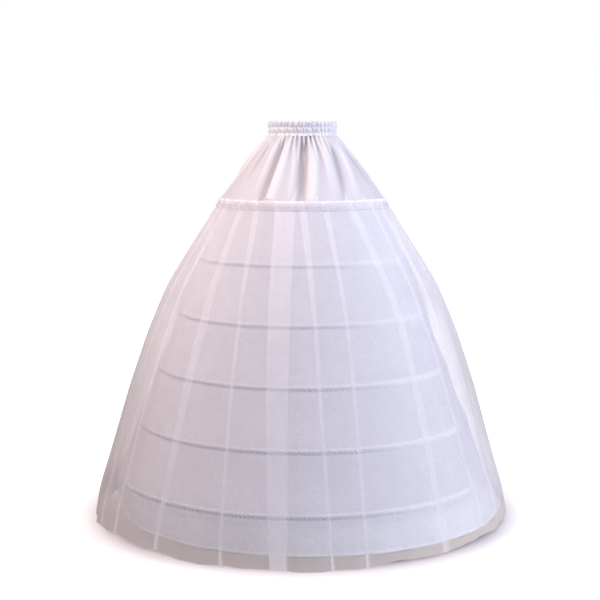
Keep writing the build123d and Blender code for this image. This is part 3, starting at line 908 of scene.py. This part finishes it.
def tape(index, material):
    """A channel tape: stitched flat along both edges, lifted over the hoop that hangs in its lower half."""
    radius_here = float(HOOP_RADII[index])
    columns = int(2 * math.pi * radius_here / TAPE_PITCH)
    angle = even_angles(columns)
    around = np.radians(angle) * radius_here
    # The steel line is partly the steel showing through and partly painted shade, stronger where the light
    # leaves the hoop in shade
    shows = np.interp(angle, STEEL_SHOWS_ANGLES, STEEL_SHOWS_SHARES)
    uneven = 0.6 + 0.4 * ripple(angle, TAPE_UNEVEN_WAVES, 41 + index, 0.5)
    drift = TAPE_DRIFT * ripple(angle, TAPE_DRIFT_WAVES, 51 + index)
    rows = []
    steel = []
    stitch = []
    for across in np.linspace(-TAPE_HALF_WIDTH, TAPE_HALF_WIDTH, TAPE_ROWS):
        along = across - TAPE_RISE
        reach = TAPE_REACH_UP if along < 0 else TAPE_REACH_DOWN
        belly = float(smooth((reach - abs(along)) / (reach - TAPE_FLAT)))
        pucker = np.sin(2 * math.pi * (around - TAPE_PUCKER_SLANT * along) / TAPE_PUCKER_PITCH + drift)
        out = TAPE_REST - STEEL_INSET + (TAPE_COVER + STEEL_INSET + TAPE_PUCKER * pucker * uneven) * belly
        radius = radius_here + along * math.sin(SLOPE) + out * math.cos(SLOPE)
        height = HOOP_HEIGHTS[index] - along * math.cos(SLOPE) + out * math.sin(SLOPE)
        rows.append(place(angle, radius, radius, height))
        sunk = (along - STEEL_LINE_DROP - STEEL_LINE_SAW * pucker * uneven) / STEEL_LINE_HALF
        stroke = np.clip(STEEL_LINE_TONE + STEEL_LINE_STROKE * pucker, STEEL_LINE_LEAST, 1.0)
        steel.append(shows * np.exp(-sunk**4) * stroke)
        stitch.append(np.full(columns, TAPE_STITCH_SHADE * hump(abs(along) - reach, TAPE_STITCH_HALF)))
    # Painted highlight where the steel line is faint
    masks = {"steel": steel, "stitch": stitch, "pale": np.tile(1.0 - shows, (TAPE_ROWS, 1))}
    piece = cloth(f"channel_tape_{index + 1}", np.array(rows), material, masks)
    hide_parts(f"hoop_channel_{index + 1}")


def pleat_edges():
    """Left and right edge of every pleat at its three stations: shape (pleats, stations, 2)."""
    pleats = [list(pleat) for pleat in FRONT_PLEATS]
    rng = np.random.default_rng(61)
    first = FRONT_PLEATS[-1]
    last = FRONT_PLEATS[0]
    for index in range(1, BACK_PLEATS + 1):
        shift = rng.uniform(-BACK_PLEAT_SHIFT_SHARE, BACK_PLEAT_SHIFT_SHARE)
        share = (index + shift) / (BACK_PLEATS + 1)
        row = []
        for station, span in enumerate(BACK_PLEAT_SPANS):
            left = first[2 * station] + (last[2 * station] + FULL_TURN - first[2 * station]) * share
            row += [left, left + span * rng.uniform(*BACK_PLEAT_SPAN_SHARES)]
        pleats.append(row)
    return np.array(pleats).reshape(-1, len(BACK_PLEAT_SPANS), 2)


def pleats_at(share, pleats):
    """Edges of the pleats at a share of the drop: they swing fast under the heading, then slowly."""
    if share < PLEAT_SWING_SHARE:
        return pleats[:, 0] + (pleats[:, 1] - pleats[:, 0]) * math.sqrt(share / PLEAT_SWING_SHARE)
    rest = (share - PLEAT_SWING_SHARE) / (1.0 - PLEAT_SWING_SHARE)
    return pleats[:, 1] + (pleats[:, 2] - pleats[:, 1]) * rest


def plain_columns(pleats, hem):
    """How many columns of points the plain net after each pleat needs at its widest."""
    following = np.roll(pleats[:, :, 0], -1, axis=0)
    following[-1] += FULL_TURN
    widest = np.radians((following - pleats[:, :, 1]).max(axis=1)) * hem
    return np.maximum(NET_FEWEST_COLUMNS, widest / NET_PLAIN_PITCH).astype(int)


def fold_turns(edge, bend):
    """Angle and share of the way to the next layer of the points that turn back at a pleat's edge."""
    turns = np.linspace(0.0, 1.0, NET_TURN_COLUMNS + 2)[1:-1]
    return [(edge + bend * math.sin(math.pi * turn), (1 - math.cos(math.pi * turn)) / 2) for turn in turns]


# Points of a line of net: angle, offset by layers, density, 1 in a pleat, lean, share of plain net, panel
NetLine = namedtuple("NetLine", "angle offset density pleat lean part panel")


def net_line(share, radius, pleats, plain_counts):
    """One line of net round the part, to and fro through each pleat and on over the plain net."""
    edges = pleats_at(share, pleats)
    following = np.append(edges[1:, 0], edges[0, 0] + FULL_TURN)
    bend = math.degrees(NET_LAYER_GAP / radius) / 2
    inner = UNDER_DENSITY + CREASE_DENSITY
    outer = PLAIN_DENSITY + CREASE_DENSITY
    points = []
    for index, (left, right) in enumerate(edges):
        flat = left + (right - left) * np.linspace(0.0, 1.0, NET_LAYER_COLUMNS)
        pleat = [(angle, 0.0, UNDER_DENSITY, 0.0) for angle in flat[1:]]
        pleat += [(angle, turned, inner, -FOLD_LEAN) for angle, turned in fold_turns(right, bend)]
        pleat += [(angle, 1.0, UNDER_DENSITY, 0.0) for angle in flat[::-1]]
        pleat += [(angle, 1.0 + turned, outer, FOLD_LEAN) for angle, turned in fold_turns(left, -bend)]
        pleat += [(angle, 2.0, TOP_DENSITY, 0.0) for angle in flat]
        points += [(angle, layers, density, 1.0, lean, 0.0, index) for angle, layers, density, lean in pleat]
        gap = following[index] - right
        for number in range(1, plain_counts[index] + 1):
            part = number / plain_counts[index]
            settled = 1.0 - smooth(math.radians(gap * part) * radius / NET_SETTLE)
            points.append((right + gap * part, 2.0 * settled, PLAIN_DENSITY, 0.0, 0.0, part, index))
    angle, layers, density, pleat, lean, part, panel = np.array(points).T
    return NetLine(angle, layers * NET_LAYER_GAP, density, pleat, lean, part, panel.astype(int))


def outside(shares, low, high):
    """The shares that lie outside a stretch."""
    return [share for share in shares if not low < share < high]


def net_shares():
    """Shares of the drop where the net has lines, closer at the gathering stitch and at the hem."""
    drop = HOOP_HEIGHTS[0] - NET_LOW.z
    hem_first = (HOOP_HEIGHTS[0] - LINING_LOW.z - 0.6 * NET_HEM_REACH) / drop
    hem_lines = np.linspace(hem_first, hem_first + NET_HEM_REACH / drop, NET_HEM_LINES)
    spaced = np.linspace(0.0, 1.0, NET_ROWS) ** NET_ROW_BUNCHING
    spaced = outside(spaced, HEADING_SHARES[0] / 2, HEADING_SHARES[-1] + NET_ROW_GAP_SHARE)
    spaced = outside(spaced, hem_lines[0] - NET_ROW_GAP_SHARE, hem_lines[-1] + NET_ROW_GAP_SHARE)
    return sorted(spaced + list(HEADING_SHARES) + list(hem_lines))


def net_profile():
    """Lines of the net from its turned-under edge over the heading to the hem: share, radius and height."""
    heading = YOKE_HIGH.x + NET_CLEARANCE
    shoulder = TOP_CHANNEL_HIGH.x + NET_CLEARANCE
    shoulder_height = HOOP_HEIGHTS[0]
    hem = NET_HIGH.x - 3 * NET_LAYER_GAP
    top = NET_HIGH.z
    lines = []
    for rise in NET_TURN_UNDER_SHARES:
        inside = heading + (shoulder - heading) * 0.6 * rise - NET_CLEARANCE / 2
        lines.append((0.0, inside, top - NET_TURN_UNDER * rise))
    for turn in np.linspace(0.0, 1.0, HEADING_ROLL_ROWS):
        swing = HEADING_ROLL * (1 - math.cos(math.pi * turn)) / 2
        lines.append((0.0, heading + swing, top - HEADING_ROLL * (1 - math.sin(math.pi * turn))))
    for share in HEADING_SLOPE_SHARES:
        across = heading + HEADING_ROLL + (shoulder - heading - HEADING_ROLL) * share
        lines.append((0.0, across, top - HEADING_ROLL + (shoulder_height - top + HEADING_ROLL) * share))
    for share in net_shares():
        spread = float(curve(np.array([share]), BELL_DROP_SHARES, BELL_SPREAD_SHARES)[0])
        height = shoulder_height + (NET_LOW.z - shoulder_height) * share
        lines.append((share, shoulder + (hem - shoulder) * spread, height))
    return lines, hem


def net_swell(share, line, billow_sizes):
    """How far a line of net swells out: billows between pleats, waves, its swing, and puckers at the top."""
    free = np.sin(math.pi * line.part)
    billows = (np.abs(free) ** 1.3 * billow_sizes[line.panel] - 0.4) * share**0.9
    waves = free * ripple(line.angle, NET_WAVES, 63, 0.3) + ripple(line.angle, NET_BROAD_WAVES, 64, 0.3)
    swing = curve(away(line.angle, 0.0), HEM_ANGLES, HEM_SWINGS) * step(share, *HEM_SWING_SHARES)
    puckers = ripple(line.angle, NET_PUCKERS, 65, 0.3) * (1 - step(share, *NET_PUCKER_SHARES))
    return NET_BILLOW * billows + NET_WAVE * share * waves + swing + NET_PUCKER * puckers


def net_lift(share, angle):
    """How far the net is lifted at an angle, which grows towards its wavy hem."""
    lift = curve(away(angle, 0.0), HEM_ANGLES, HEM_LIFTS) + NET_HEM_WAVE * ripple(angle, NET_HEM_WAVES, 66)
    return lift * step(share, *HEM_LIFT_SHARES)


def side_shade(share, front):
    """How much painted shade greys the net at a share of the drop, by angle."""
    left = step(share, *LEFT_SHADE_SHARES)
    right = step(share, *RIGHT_SHADE_SHARES) * (1 - RIGHT_SHADE_EASING * step(share, *RIGHT_SHADE_EASES_SHARES))
    return np.interp(front, SIDE_ANGLES, SIDE_SHADE_SHARES) * np.where(front < 0, left, right)


def heading_stitches(angle, front):
    """How plainly the gathering stitches show round the heading, with knots in front."""
    drawn = np.interp(front, STITCH_ANGLES, STITCH_SHARES) * (0.75 + 0.25 * ripple(angle, STITCHES, 67))
    for knot in KNOT_ANGLES:
        drawn = drawn + hump(front - knot, KNOT_HALF)
    return drawn


def net_paint(share, line, height, stitched, rolled):
    """Paint masks of one line of net: cover, painted shade, its warm tint at the hem, painted highlight and
    gathering stitches.
    """
    front = away(line.angle, 0.0)
    shows = np.interp(front, SIDE_ANGLES, HEM_SHOWS)
    blend = HEM_BLEND + 0.8 * (shows - min(HEM_SHOWS))
    below = smooth((LINING_LOW.z + shows - height) / blend + 0.5)
    upper = (1.0 - share) ** 2
    head = 1 - step(share, *HEADING_END_SHARES)
    side = np.interp(front, SIDE_ANGLES, SIDE_SHARES) * step(share, *SIDE_GROWS_SHARES)
    gathered = SIDE_DENSITY * side * (1 - below) + HEM_DENSITY * below
    cover = line.density + GATHERED_DENSITY * upper + gathered * (1 - PLEAT_THINNING * line.pleat)
    headed = HEADING_DENSITY * (1 - HEADING_THINNING * line.pleat) + ROLL_DENSITY * rolled
    # Painted highlight along creases, on pleats, over the heading and on its roll
    creased = CREASE_HIGHLIGHT * np.abs(line.lean) / FOLD_LEAN * (1 - below)
    pleated = line.pleat * (PLEAT_HIGHLIGHT + DROP_HIGHLIGHT * share + NET_HEM_HIGHLIGHT * below) + creased
    heading_highlight = HEADING_HIGHLIGHT + ROLL_HIGHLIGHT * rolled
    white = UPPER_HIGHLIGHT * upper + np.interp(front, SIDE_ANGLES, PLEAT_HIGHLIGHT_SHARES) * pleated
    return {
        "cover": cover + (headed - cover) * head,
        # Painted shade at the sides and free hem with its warm tint at the hem; the white mask is painted
        # highlight
        "grey": np.maximum(side_shade(share, front), NET_HEM_SHADE * below),
        "warm": below * np.interp(front, SIDE_ANGLES, HEM_SHADE_WARMTH_SHARES),
        "white": np.maximum(head * heading_highlight, white * (1 - HEADING_HIDES * head)),
        "stitch": np.clip(stitched * heading_stitches(line.angle, front), 0.0, STITCH_MOST),
    }


def net(material):
    """The sheer overskirt: turned under at the heading, over the top tape, then free down to a wavy hem."""
    pleats = pleat_edges()
    lines, hem = net_profile()
    plain_counts = plain_columns(pleats, hem)
    billow_sizes = np.random.default_rng(62).uniform(*NET_BILLOW_SHARES, len(pleats))
    rows = []
    leans = []
    paints = []
    for share, radius, height in lines:
        line = net_line(share, radius, pleats, plain_counts)
        drop = NET_HIGH.z - height
        stitched = hump(drop - HEADING_STITCH_DROP, HEADING_STITCH_HALF)
        rolled = float(drop < 1.2 * HEADING_ROLL and share == 0.0)
        around = radius + line.offset + net_swell(share, line, billow_sizes) - HEADING_PINCH * stitched
        lifted = height + net_lift(share, line.angle)
        rows.append(place(line.angle, around, around, lifted))
        leans.append(line.lean)
        paints.append(net_paint(share, line, lifted, stitched, rolled))
    masks = {name: [paint[name] for paint in paints] for name in paints[0]}
    piece = cloth("net_overskirt", np.array(rows), material, masks, np.array(leans))
    piece.visible_shadow = False
    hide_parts("tulle_overskirt")


def dress(node, material):
    """Gives a CAD node its finish."""
    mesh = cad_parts[node].data
    mesh.materials.clear()
    mesh.materials.append(material)


def link(name, data):
    """Puts a lamp, a mesh or a camera into the scene as an object."""
    thing = bpy.data.objects.new(name, data)
    bpy.context.scene.collection.objects.link(thing)
    return thing


def surroundings():
    """White surroundings to look at, which light the part less brightly."""
    world = bpy.data.worlds.new("studio")
    world.use_nodes = True
    tree = world.node_tree
    tone = tree.nodes.new("ShaderNodeMix")
    tone.data_type = "RGBA"
    tone.inputs[6].default_value = AMBIENT
    tone.inputs[7].default_value = WHITE
    seen = tree.nodes.new("ShaderNodeLightPath").outputs["Is Camera Ray"]
    tree.links.new(seen, tone.inputs[0])
    tree.links.new(tone.outputs[2], tree.nodes["Background"].inputs[0])
    bpy.context.scene.world = world


def lamps():
    """Soft square lamps: mostly cool from the right and the front, warm from the left."""
    for name, spot, target, side, power, colour in LAMPS:
        lamp = bpy.data.lights.new(name, "AREA")
        lamp.size = side
        lamp.energy = power
        lamp.color = colour
        holder = link(name, lamp)
        holder.location = spot
        holder.rotation_euler = (Vector(target) - Vector(spot)).to_track_quat("-Z", "Y").to_euler()


def floor():
    """A wide pale floor just below the part."""
    signs = ((-1, -1), (1, -1), (1, 1), (-1, 1))
    corners = [(x * FLOOR_HALF_SIZE, y * FLOOR_HALF_SIZE, 0.0) for x, y in signs]
    mesh = bpy.data.meshes.new("floor")
    mesh.from_pydata(corners, [], [(0, 1, 2, 3)])
    mesh.materials.append(floor_material())
    ground = link("floor", mesh)
    ground.location = (0.0, 0.0, cad_box[0].z - FLOOR_GAP)
    ground.visible_diffuse = False
    ground.visible_glossy = False


def camera():
    """The camera, at the photograph's viewing angle, and how colours and layers of net are shown."""
    lens = bpy.data.cameras.new("camera")
    lens.lens = CAMERA_LENS
    lens.sensor_width = CAMERA_SENSOR
    eye = link("camera", lens)
    eye.location = CAMERA_PLACE
    eye.rotation_euler = (math.radians(90.0 - CAMERA_PITCH), 0.0, 0.0)
    scene = bpy.context.scene
    scene.camera = eye
    scene.view_settings.view_transform = "Standard"
    scene.cycles.transparent_max_bounces = NET_LAYERS_SEEN


waistband(woven_material("waist_cloth", WAIST_COLOURS, WAIST_THREAD, 0.5, 0.2))
yoke(woven_material("yoke_satin", YOKE_COLOURS, YOKE_THREAD, 0.45, 0.15))
lining(woven_material("lining_cloth", LINING_COLOURS, LINING_THREAD, 0.6, 0.1))
tape_cloth = tape_material()
for index in range(HOOP_COUNT):
    tape(index, tape_cloth)
net(net_material())

hoop_steel = metal_material("hoop_steel", HOOP_COLOUR, 0.35)
connector_steel = metal_material("connector_steel", CONNECTOR_COLOUR, 0.42)
dress("waist_elastic", elastic_material())
for number in range(1, HOOP_COUNT + 1):
    dress(f"hoop_{number}", hoop_steel)
    dress(f"hoop_connector_{number}", connector_steel)

surroundings()
lamps()
floor()
camera()
